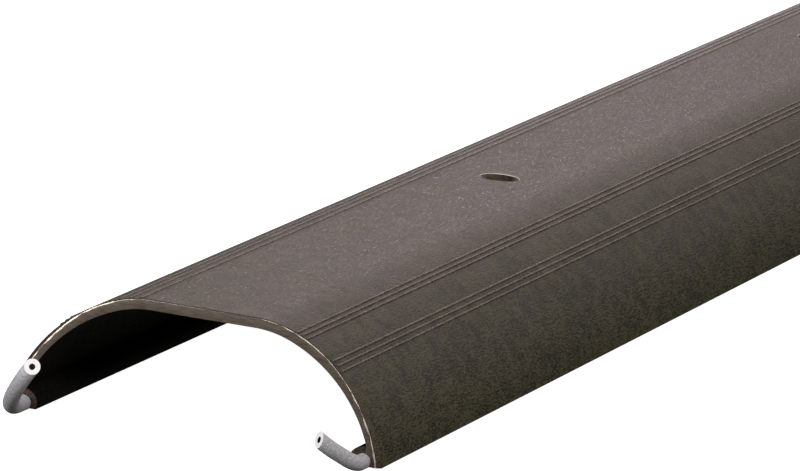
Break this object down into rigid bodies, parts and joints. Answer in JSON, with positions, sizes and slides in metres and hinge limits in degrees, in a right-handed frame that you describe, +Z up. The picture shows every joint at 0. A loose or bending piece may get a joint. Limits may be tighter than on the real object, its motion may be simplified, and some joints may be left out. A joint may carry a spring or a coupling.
{
  "type": "door threshold",
  "caption": "Arched aluminium door threshold bar with ribbed shoulders, countersunk screw holes and a hollow soft tube seal under each long foot.",
  "frame": {"origin": "middle of the whole part in X and Y, at the level of the lowest line of the two seals, the surface that the part rests on", "axes": "+X along the bar away from the sawn end with the free seal ends, +Y across it from the front foot to the rear foot, +Z up"},
  "size_m": [0.948, 0.0888, 0.0298],
  "materials": {
    "anodised_aluminium": "dark bronze anodised, satin",
    "soft_vinyl": "grey, matt, pale where cut"
  },
  "bodies": {
    "bar": {"threshold_bar": "anodised_aluminium"},
    "front_tube": {"front_seal": "soft_vinyl"},
    "rear_tube": {"rear_seal": "soft_vinyl"}
  },
  "joints": [
    {"name": "front_seal_pull", "type": "slide", "parent": "bar", "child": "front_tube", "axis": [-1, 0, 0], "range_m": [0, 0.945]},
    {"name": "rear_seal_pull", "type": "slide", "parent": "bar", "child": "rear_tube", "axis": [-1, 0, 0], "range_m": [0, 0.945]}
  ]
}
